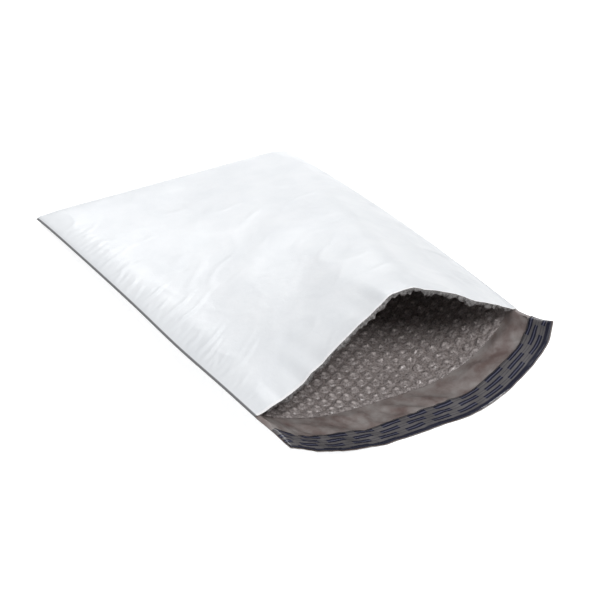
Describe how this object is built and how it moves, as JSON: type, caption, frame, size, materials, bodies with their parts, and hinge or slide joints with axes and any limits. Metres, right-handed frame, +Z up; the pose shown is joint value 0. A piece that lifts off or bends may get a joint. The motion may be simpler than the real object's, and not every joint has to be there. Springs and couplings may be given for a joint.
{
  "type": "padded envelope",
  "caption": "Open padded envelope of white film with a bubble lining, side seals and a peel-off strip on its lip.",
  "frame": {"origin": "centre of the footprint, on the surface the envelope lies on", "axes": "+X across the envelope, +Y from the open mouth to the folded closed end, +Z up"},
  "size_m": [0.2696, 0.4474, 0.0991],
  "materials": {
    "white_film": "thin satin film, white outside and taupe inside",
    "bubble_film": "clear grey bubble film over the taupe inner face",
    "hot_melt_glue": "tacky translucent glue band",
    "strip_film": "smooth grey release film with dark dashes"
  },
  "bodies": {
    "root": {"outer_film": "white_film", "bubble_liner": "bubble_film", "adhesive_strip": "hot_melt_glue", "release_strip": "strip_film"}
  },
  "joints": []
}
